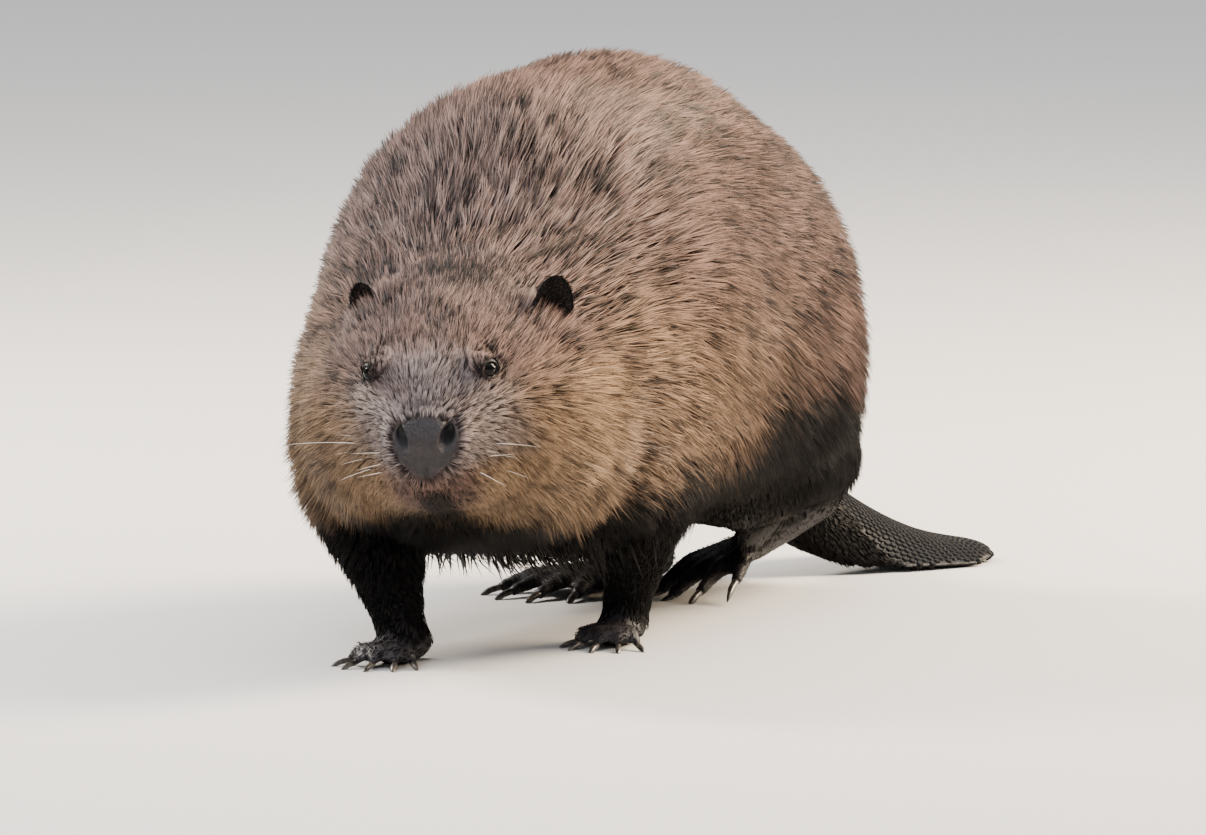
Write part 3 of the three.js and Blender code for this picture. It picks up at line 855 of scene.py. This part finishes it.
def length_factor(points, shares):
    """Hair is shortest round the nose, eyes, ears and feet, and longest in the ruff of the cheeks."""
    q = in_head(points)
    on_head = share_of(shares, "head")
    face = 0.34 + 0.62 * ramp(q[:, 1], 14, 84) + 0.6 * ruff_share(points, shares)
    leg = share_of(shares, "leg")
    shin = 0.45 + 0.55 * ramp(points[:, 2], 25, 80)
    lids = near_eye(points)
    ears = 0.45 + 0.55 * ramp(distance_to(points, "ear"), 20, 42)
    rear = ramp(points[:, 1], -120, -40)
    fringe = 1 + (0.05 - 0.5 * rear) * (1 - ramp(points[:, 2], 65, 125)) * (1 - leg) * (1 - on_head)
    return (1 + on_head * (face - 1) + leg * (shin - 1)) * lids * ears * fringe


def distance_to(points, feature):
    """How far each point is from the middle of the nearer eye or ear."""
    centres = [box_centre(f"{feature}_{side}") for side in SIDES]
    return np.min([np.linalg.norm(points - centre, axis=1) for centre in centres], axis=0)


def order_along(points):
    """Distance behind the nose, measured so that it still grows over the round of the rump."""
    away = np.linalg.norm((points - np.array(SPINE_MIDDLE))[:, [0, 2]], axis=1)
    return points[:, 1] - 0.5 * away * np.sign(points[:, 1] + 20)


def coat_piece(name, slot, material, tufts, marks, chances, unwrap):
    """One part of the coat as a mesh, with its marks and its unwrap: angle, and order along the part."""
    count = len(tufts)
    faces = ((np.arange(count) * 5)[:, None, None] + np.array(TUFT_FACES)[None]).reshape(-1, 3)
    piece = make_object(name, tufts.reshape(-1, 3), faces, material)
    set_channels(piece.data, "marks", np.repeat(marks, 5, axis=0))
    along = np.tile((0, TUFT_BELLY, TUFT_BELLY, TUFT_BELLY, 1), count)
    set_channels(piece.data, "strand", np.column_stack([along, np.repeat(chances, 5, axis=0)]))
    angle, place = unwrap.T
    rank = np.empty(count)
    rank[np.argsort(place)] = (np.arange(count) + 0.5) / count
    across = np.tile((0, -0.5, 0, 0.5, 0), count)
    places = [np.repeat(angle, 5) + PATCH * across, np.repeat(rank, 5) + PATCH * (along - 0.5)]
    layer = piece.data.uv_layers.new(name="OFBake")
    layer.data.foreach_set("uv", np.column_stack(places)[faces.ravel()].ravel())
    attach(piece, "root")


# ---- finishes ----------------------------------------------------------------------------------------

BROWN, BROWN_DARK = (128, 102, 92), (17, 13, 12)
GOLD, GOLD_DARK = (170, 141, 111), (46, 34, 26)
# The silver tones are partly painted sheen on hair that faces up.
SILVER_AND_SHEEN, SILVER_AND_SHEEN_DARK = (146, 135, 133), (28, 24, 25)
# The blackish tones also carry the painted shade of the dark marks.
BLACK_AND_SHADE, BLACK_AND_SHADE_DARK = (16, 13, 13), (2, 2, 2)


def marked(finish, light):
    """The coat's colours where its marks say, each between its dark and its light tone."""
    # The dark channel is partly painted shade and the silver one partly painted sheen.
    dark, gold, silver = finish.channels("marks")
    tone = finish.mix(light, BROWN_DARK, BROWN)
    tone = finish.mix(gold, tone, finish.mix(light, GOLD_DARK, GOLD))
    tone = finish.mix(silver * 0.8, tone, finish.mix(light, SILVER_AND_SHEEN_DARK, SILVER_AND_SHEEN))
    return finish.mix(dark, tone, finish.mix(light, BLACK_AND_SHADE_DARK, BLACK_AND_SHADE))


def fur_finish():
    finish = Finish("guard hair", Roughness=0.45, Specular_IOR_Level=0.08)
    along, chance, clump = finish.channels("strand")
    drift = finish.noise(38, 2) - 0.5
    # Each tuft is darker at its root and lighter at its tip, partly the hair's own colour and partly painted
    # shade deep in the coat; the rest differs at random by tuft, clump and place.
    light = along.rise(0.05, 0.9) * 0.4 + chance * 0.65 + clump * 0.55 + drift * 0.7 - 0.52
    return finish.wear(Base_Color=marked(finish, light.rise(0, 1)))


def hide_finish():
    """Under-fur on the body; dark bare leather on feet and nose, near-black in the nostrils as painted shade
    and on the lids as their own dark rim; scaly tail.
    """
    finish = Finish("hide", Specular_IOR_Level=0.2)
    place = finish.place()
    bare, tail, hollow = finish.channels("bare")
    fuzz = finish.noise(700, 3, place)
    fur = finish.scaled(marked(finish, fuzz * 0.5), 0.7)
    leather = finish.mix(finish.noise(260, 4, place), (22, 20, 21), (50, 46, 48))
    # Near-black: painted shade deep in the nostrils, and the lids' own dark rim round the eyes.
    leather = finish.mix(hollow, leather, (5, 4, 4))
    tone = finish.mix(bare, fur, leather)
    tone = finish.mix(tail, tone, finish.mix(finish.noise(90, 4, place), (8, 8, 9), (18, 18, 20)))
    pebble = finish.node("ShaderNodeTexVoronoi", None, {"Vector": place, "Scale": 620}, output="Distance")
    rough = 0.85 - 0.35 * bare - 0.4 * tail
    bump = finish.bump(pebble * bare * (1 - hollow) + fuzz * (1 - bare), 0.0006, 0.6)
    return finish.wear(Base_Color=tone, Roughness=rough, Normal=bump)


# ---- the hide's own mesh -----------------------------------------------------------------------------


def beside_eye(points):
    """How far each point is from the line along which the nearer eye looks."""
    aside = []
    for side in SIDES:
        centre, _, gaze, up, across = eye_axes(side)
        offset = points - centre
        aside.append(np.where(offset @ gaze > -6, np.hypot(offset @ across, offset @ up), 99))
    return np.min(aside, axis=0)


def behind_rump(points):
    """How far each point is behind the rump, with an uneven edge."""
    return points[:, 1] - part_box("rump")[1][1] / MM + 5 * lattice(points, 9, 31)


def finish_hide(hide, material):
    """The hide's object, its marks and bare parts stored on it and its faces under long fur made few."""
    points = hide["points"]
    piece = make_object("hide", points, hide["triangles"], material)
    share = dict(zip(REGIONS, hide["shares"].T))
    pad, hole, front = nose_pad(points)
    nostril = (1 - ramp(hole, 0.8, 1.15)) * front
    lid = 1 - ramp(beside_eye(points), 5.2, 6.6)
    bare = np.maximum(np.maximum(share["foot"], ramp(pad, 0, 0.35)), lid)
    tail = share["tail"] * ramp(behind_rump(points), BARE_TAIL - 8, BARE_TAIL)
    set_channels(piece.data, "marks", hide["marks"])
    # The third channel holds the nostrils, painted near-black as shade, and the lids, near-black as their
    # own rim.
    set_channels(piece.data, "bare", np.column_stack([bare, tail, np.maximum(nostril, lid)]))
    hidden = piece.vertex_groups.new(name="hidden")
    face = 1 - ramp(in_head(points)[:, 1], 60, 90)
    covered = np.clip(1 - 2 * (share["foot"] + share["tail"] + share["ear"] + share["nose"]) - face, 0, 1)
    for index, weight in enumerate(covered):
        if weight > 0.02:
            hidden.add([index], float(weight), "REPLACE")
    ratio = HIDE_TRIANGLES / len(hide["triangles"])
    settings = {"ratio": ratio, "vertex_group": "hidden", "use_collapse_triangulate": True}
    small = evaluated(piece, ("DECIMATE", settings))
    small.name = "hide"
    piece = linked("hide", small)
    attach(piece, "root")
    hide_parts(*FLESH)


def eye_axes(side):
    """An eye's centre, radius, the way that it looks, its upward way and the way across it."""
    centre = box_centre(f"eye_{side}")
    radius = np.ptp(np.array(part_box(f"eye_{side}")), axis=0).max() / MM / 2
    sign = 1 if side == "left" else -1
    gaze = HEAD_AXES @ unit(np.array([[sign * GAZE[0], GAZE[1], GAZE[2]]]))[0]
    up = unit(np.cross(np.cross(gaze, (0, 0, 1)), gaze)[None])[0]
    return centre, radius, gaze, up, np.cross(up, gaze)


def with_lids(points):
    """Domes the hide over each eyeball as two lids, and sinks it under the ball where the eye is open."""
    for side in SIDES:
        centre, radius, gaze, up, across = eye_axes(side)
        offset = points - centre
        ahead = offset @ gaze
        aside = np.hypot(offset @ across, offset @ up)
        opening = np.hypot(offset @ across / LID_OPENING[0], offset @ up / LID_OPENING[1])
        rim = LID_RIM * np.exp(-(((opening - 1.2) / 0.2) ** 2))
        dome = np.sqrt((radius + LID_THICKNESS) ** 2 - np.minimum(aside, 0.9 * radius) ** 2) + rim
        well = np.sqrt(np.maximum(radius**2 - aside**2, 0)) - EYE_WELL
        share = (1 - ramp(aside, 0.9 * radius, LID_REACH)) * (ahead > -9)
        target = np.where(opening < 1, well, dome)
        points = points + np.outer((target - ahead) * share, gaze)
    return points


def nose_pad(points):
    """1 on the bare pad of the nose, the reach from a nostril's middle, and 1 in front of the muzzle."""
    q = in_head(points)
    front = 1 - ramp(q[:, 1], 14, 23)
    half = PAD_WIDTH - PAD_TAPER * ramp(-q[:, 2], 1, 20)
    tall = np.where(q[:, 2] > 0, PAD_UP, PAD_DOWN)
    reach = np.hypot(q[:, 0] / half, q[:, 2] / tall) + 0.05 * lattice(points, 3, 41)
    pad = (1 - ramp(reach, 0.88, 1.06)) * front
    lean = np.abs(q[:, 0]) - NOSTRIL[0] - 0.14 * (q[:, 2] - NOSTRIL[1])
    hole = np.hypot(lean / NOSTRIL_SIZE[0], (q[:, 2] - NOSTRIL[1]) / NOSTRIL_SIZE[1])
    return pad, hole, front


def with_nose(points):
    """Nostrils with flared rims, the cleft under them and the hollow between them."""
    _, hole, front = nose_pad(points)
    q = in_head(points)
    inward = NOSTRIL_DEPTH * np.exp(-(hole**2.4)) * front
    flare = NOSTRIL_FLARE * np.exp(-(((hole - 1.65) / 0.4) ** 2)) * front * (q[:, 1] < 14)
    cleft = NOSE_CLEFT * np.exp(-((q[:, 0] / 1.3) ** 2)) * (1 - ramp(q[:, 2], -14, 0)) * front
    hollow = NOSE_HOLLOW * np.exp(-((q[:, 0] / 6) ** 2)) * ramp(q[:, 2], -8, 4) * front
    q[:, 1] += inward + cleft + hollow - flare
    q[:, 0] -= np.sign(q[:, 0]) * inward * 0.4
    return from_head(q)


def make_hide():
    """The hide's points and what the coat needs to know at each of them."""
    tips, edges, triangles, shares, in_ear = build_hide_surface()
    normals = vertex_normals(tips, triangles)
    depth = coat_depth(tips, shares)
    depth = averaged(depth[:, None], edges, np.full(len(tips), 0.8), 12)[:, 0]
    points = averaged(tips - normals * depth[:, None], edges, np.clip(depth / 12, 0, 0.6), 10)
    points = with_nose(with_lids(points))
    points[:, 2] = np.maximum(points[:, 2], 0)
    flow = lie_of_coat(tips, normals, shares, edges)
    lid = (1 - ramp(distance_to(points, "eye"), 13, 20))[:, None]
    raised = averaged(vertex_normals(points, triangles), edges, np.full(len(tips), 0.8), 6)
    normals = unit(normals * (1 - lid) + raised * lid)
    marks = coat_marks(tips, shares)
    marks[in_ear] = INSIDE_EAR
    pad, _, _ = nose_pad(points)
    bald = np.maximum(1 - ramp(beside_eye(points), 4.9, 5.6), ramp(pad, 0.45, 0.8))
    furred = shares.copy()
    head, nose, tail = (REGIONS.index(region) for region in ("head", "nose", "tail"))
    furred[:, head] += furred[:, nose]
    furred[:, nose] = 0
    space = mixed(furred, TUFT_SPACE) * (1 - 0.38 * on_face(points, furred)) + 60 * bald
    furred_tail = (shares[:, tail] > 0.01) & (behind_rump(points) < BARE_TAIL - 2)
    space = np.where(furred_tail, TUFT_SPACE["leg"], space)
    return {
        "points": points,
        "triangles": triangles,
        "normals": normals,
        "shares": furred,
        "depth": depth,
        "flow": flow,
        "marks": marks,
        "space": space,
        "in_ear": in_ear.astype(float),
    }


# ---- eyes --------------------------------------------------------------------------------------------

CORNEA_BULGE, CORNEA_EDGE = 0.55, 0.62  # height, and where it ends: an angle from the gaze, in radians
PUPIL_EDGE, IRIS_EDGE = (0.42, 0.5), (0.86, 0.98)


def make_eye(side, material):
    """A wet dark eyeball with a clear bulge over the pupil."""
    centre, radius, gaze, up, across = eye_axes(side)
    rings, sides = 30, 40
    points, angles = [], []
    for i in range(rings + 1):
        angle = math.pi * i / rings
        bulge = radius + CORNEA_BULGE * max(0.0, math.cos(min(angle / CORNEA_EDGE, 1) * math.pi / 2))
        for k in range(sides if 0 < i < rings else 1):
            turn = 2 * math.pi * k / sides
            out = gaze * math.cos(angle) + math.sin(angle) * (across * math.cos(turn) + up * math.sin(turn))
            points.append(centre + out * bulge)
            angles.append(angle)
    piece = make_object(f"eyeball_{side}", points, ball_faces(rings, sides), material)
    set_channels(piece.data, "ring", np.column_stack([angles] * 3))
    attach(piece, "root")
    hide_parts(f"eye_{side}")


def eye_finish():
    finish = Finish("wet eye", Roughness=0.04, Specular_IOR_Level=0.12)
    ring, _, _ = finish.channels("ring")
    streaks = finish.noise(1800, 2)
    iris = finish.mix(streaks, (7, 5, 4), (16, 11, 8))
    tone = finish.mix(ring.rise(*PUPIL_EDGE), (6, 5, 5), iris)
    return finish.wear(Base_Color=finish.mix(ring.rise(*IRIS_EDGE), tone, (20, 17, 16)))


# ---- claws -------------------------------------------------------------------------------------------


def claw_finish():
    finish = Finish("dark horn", Roughness=0.32, Coat_Weight=0.3, Coat_Roughness=0.2)
    grain = finish.noise(300, 3)
    return finish.wear(Base_Color=finish.mix(grain.rise(0.35, 0.75), (30, 27, 26), (94, 86, 77)))


def make_claws(leg, material):
    """The claws of one foot, rounded from their solids."""
    name, nodes = f"claws_{leg}", [f"claw_{leg}_{k}" for k in range(1, 6)]
    mesh = evaluated(joined(name, nodes), ("SUBSURF", {"levels": 2, "render_levels": 2}))
    mesh.materials.clear()
    mesh.materials.append(material)
    mesh.polygons.foreach_set("use_smooth", np.ones(len(mesh.polygons), dtype=bool))
    piece = linked(name, mesh)
    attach(piece, "root")
    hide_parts(*nodes)


# ---- the scales of the tail --------------------------------------------------------------------------

SCALE_ROW, SCALE_COLUMN = 4.3, 4.9  # from one scale to the next, along and across the tail
SCALE_SIZE = {"Length": 2.75, "Width": 2.6, "Thickness": 1.1}
SCALE_CROWN = 0.62  # width of a scale's top, as a share of its foot's
BARE_TAIL = 34  # how far behind the rump the scales start


def tail_slices(points, gap):
    """Cuts across the tail, root to tip: each one's middle, ways along, across and up, and half width."""
    centred = points - points.mean(axis=0)
    heading = np.linalg.svd(centred, full_matrices=False)[2][0]
    heading *= np.sign(heading[1])
    along = centred @ heading
    slices = []
    for place in np.arange(along.min() + 3, along.max() - 2, gap):
        cut = points[np.abs(along - place) < 4]
        flat = cut - cut.mean(axis=0)
        flat -= np.outer(flat @ heading, heading)
        across = np.linalg.svd(flat, full_matrices=False)[2][0]
        across *= np.sign(across[0])
        reach = flat @ across
        middle = cut.mean(axis=0) + across * (reach.max() + reach.min()) / 2
        slices.append((middle, across, (reach.max() - reach.min()) / 2))
    middles = np.array([middle for middle, _, _ in slices])
    ways = unit(np.gradient(middles, axis=0))
    return [
        (middle, way, across, np.cross(across, way), half)
        for (middle, across, half), way in zip(slices, ways)
    ]


def scale_seats(hide):
    """Where each scale sits on the tail, above and below: place, facing and the way along."""
    on_tail = share_of(hide["shares"], "tail") > 0.5
    triangles = hide["triangles"][on_tail[hide["triangles"]].all(axis=1)]
    tree = BVHTree.FromPolygons([Vector(p) for p in hide["points"]], triangles.tolist())
    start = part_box("rump")[1][1] / MM + BARE_TAIL
    seats = []
    for row, (middle, way, across, up, half) in enumerate(tail_slices(hide["points"][on_tail], SCALE_ROW)):
        for column in np.arange(-half + 2 + SCALE_COLUMN / 2 * (row % 2), half - 1.5, SCALE_COLUMN):
            for face in (1, -1):
                origin = middle + across * column + up * 40 * face
                place, normal, _, _ = tree.ray_cast(Vector(origin), Vector(-up * face))
                if place and place.y > start - 8 * abs(column) / half and place.z > 2.0:
                    outward = 1 if normal.dot(Vector(up * face)) > 0 else -1
                    seats.append((*place, *(normal * outward), *way))
    return np.array(seats)


def scale_tree(material):
    """Geometry Nodes: a six-sided plate at every point, turned by the point's facing and along vectors."""
    tree = bpy.data.node_groups.new("tail scales", "GeometryNodeTree")
    tree.interface.new_socket("Geometry", in_out="INPUT", socket_type="NodeSocketGeometry")
    for name, size in SCALE_SIZE.items():
        socket = tree.interface.new_socket(name, in_out="INPUT", socket_type="NodeSocketFloat")
        socket.default_value = size * MM
    tree.interface.new_socket("Geometry", in_out="OUTPUT", socket_type="NodeSocketGeometry")

    def node(kind, settings=None, sockets=None):
        made = tree.nodes.new(kind)
        for key, value in (settings or {}).items():
            setattr(made, key, value)
        for key, value in (sockets or {}).items():
            if isinstance(value, bpy.types.NodeSocket):
                tree.links.new(value, made.inputs[key])
            else:
                made.inputs[key].default_value = value
        return made

    def vector(name):
        settings = {"data_type": "FLOAT_VECTOR"}
        return node("GeometryNodeInputNamedAttribute", settings, {"Name": name}).outputs[0]

    sizes = node("NodeGroupInput")
    shape = {"Vertices": 6, "Radius Top": SCALE_CROWN, "Radius Bottom": 1.0, "Depth": 1.0}
    plate = node("GeometryNodeMeshCone", None, shape)
    scale = node("ShaderNodeCombineXYZ", None, {k: sizes.outputs[name] for k, name in enumerate(SCALE_SIZE)})
    facing = node("FunctionNodeAlignRotationToVector", {"axis": "Z"}, {"Vector": vector("facing")})
    turned_along = node(
        "FunctionNodeAlignRotationToVector",
        {"axis": "X", "pivot_axis": "Z"},
        {"Rotation": facing.outputs[0], "Vector": vector("along")},
    )
    plates = node(
        "GeometryNodeInstanceOnPoints",
        None,
        {
            "Points": sizes.outputs["Geometry"],
            "Instance": plate.outputs["Mesh"],
            "Rotation": turned_along.outputs[0],
            "Scale": scale.outputs[0],
        },
    )
    real = node("GeometryNodeRealizeInstances", None, {"Geometry": plates.outputs[0]})
    dressed = node("GeometryNodeSetMaterial", None, {"Geometry": real.outputs[0], "Material": material})
    node("NodeGroupOutput", None, {"Geometry": dressed.outputs[0]})
    return tree


def make_tail_scales(hide, material):
    seats = scale_seats(hide)
    mesh = bpy.data.meshes.new("scale_seats")
    mesh.from_pydata((seats[:, :3] * MM).tolist(), [], [])
    for name, columns in (("facing", slice(3, 6)), ("along", slice(6, 9))):
        stored = mesh.attributes.new(name, "FLOAT_VECTOR", "POINT")
        stored.data.foreach_set("vector", seats[:, columns].ravel())
    carrier = linked("scale_seats", mesh)
    tree = scale_tree(material)
    modifier = carrier.modifiers.new("scales", "NODES")
    modifier.node_group = tree
    for item in tree.interface.items_tree:
        if item.in_out == "INPUT" and item.name in SCALE_SIZE:
            modifier[item.identifier] = SCALE_SIZE[item.name] * MM
    piece = linked("tail_scales", evaluated(carrier))
    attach(piece, "root")


def scale_finish():
    finish = Finish("tail scale", Specular_IOR_Level=0.14)
    patch = finish.noise(55, 3)
    tone = finish.mix(patch.rise(0.35, 0.7), (5, 5, 6), (13, 13, 15))
    fine = finish.noise(900, 2)
    rough = 0.5 + 0.25 * finish.noise(120, 2)
    return finish.wear(Base_Color=tone, Roughness=rough, Normal=finish.bump(fine, 0.0003, 0.5))


# ---- whiskers ------------------------------------------------------------------------------------------

WHISKER_LENGTH, LONGEST = 56, 3.0  # the one long whisker is that many times as long
WHISKER_RADIUS = 0.32
WHISKER_ROOT = (22, 20, -10)  # the foremost of the top row, in the head's own axes
WHISKER_STEP, ROW_STEP = (2.2, 6.0, 1.2), 5.5  # to the next in a row, and down to the next row


def whisker(root, start, length, droop):
    """A tapering hair: rings of five points along a drooping arc, and a tip."""
    rings, sides = 9, 5
    side = unit(np.cross(start, (0, 0, 1))[None])[0]
    points = []
    for i in range(rings):
        t = i / rings
        centre = root + start * length * t - np.array((0, 0, 1)) * droop * length * t * t
        upward = unit(np.cross(side, start)[None])[0]
        radius = WHISKER_RADIUS * (1 - t) ** 0.6
        for k in range(sides):
            turn = 2 * math.pi * k / sides
            points.append(centre + radius * (side * math.cos(turn) + upward * math.sin(turn)))
    points.append(root + start * length - np.array((0, 0, 1)) * droop * length)
    points.append(root)
    tip, base = rings * sides, rings * sides + 1
    last = (rings - 1) * sides
    faces = []
    for k in range(sides):
        n = (k + 1) % sides
        faces.append((k, n, base))
        for a in range(0, last, sides):
            b = a + sides
            faces += [(a + n, a + k, b + k), (a + n, b + k, b + n)]
        faces.append((last + n, last + k, tip))
    return np.array(points), np.array(faces)


def make_whiskers(material):
    """Three rows of whiskers on each side of the muzzle, longer to the back, one on the right very long."""
    chance = np.random.default_rng(21)
    points, faces, count = [], [], 0
    for sign in (1, -1):
        for row in range(3):
            for k in range(3):
                longest = sign < 0 and row == 0 and k == 1
                root = np.array(WHISKER_ROOT) + k * np.array(WHISKER_STEP) - (0, 0, row * ROW_STEP)
                root[0] *= sign
                spread = np.array((sign, 0.25 + 0.2 * k, 0.02 - 0.24 * row)) + chance.normal(0, 0.13, 3)
                spread[2] -= 0.3 if longest else 0
                length = WHISKER_LENGTH * (0.45 + 0.2 * k) * chance.uniform(0.75, 1.15)
                length *= LONGEST if longest else 1
                start = HEAD_AXES @ unit(spread[None])[0]
                some, joints = whisker(from_head(root), start, length, chance.uniform(0.02, 0.16))
                points.append(some)
                faces.append(joints + count)
                count += len(some)
    piece = make_object("whiskers", np.concatenate(points), np.concatenate(faces), material)
    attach(piece, "root")


def whisker_finish():
    finish = Finish("pale whisker", Roughness=0.35)
    return finish.wear(Base_Color=finish.mix(finish.noise(60, 1), (226, 214, 200), (168, 152, 138)))


# ---- putting it together -----------------------------------------------------------------------------

make_camera()
make_stage()
hide = make_hide()
finish_hide(hide, hide_finish())
grow_coat(hide, fur_finish())
wet_eye = eye_finish()
for side in SIDES:
    make_eye(side, wet_eye)
make_tail_scales(hide, scale_finish())
make_whiskers(whisker_finish())
horn = claw_finish()
for leg in LEGS:
    make_claws(leg, horn)
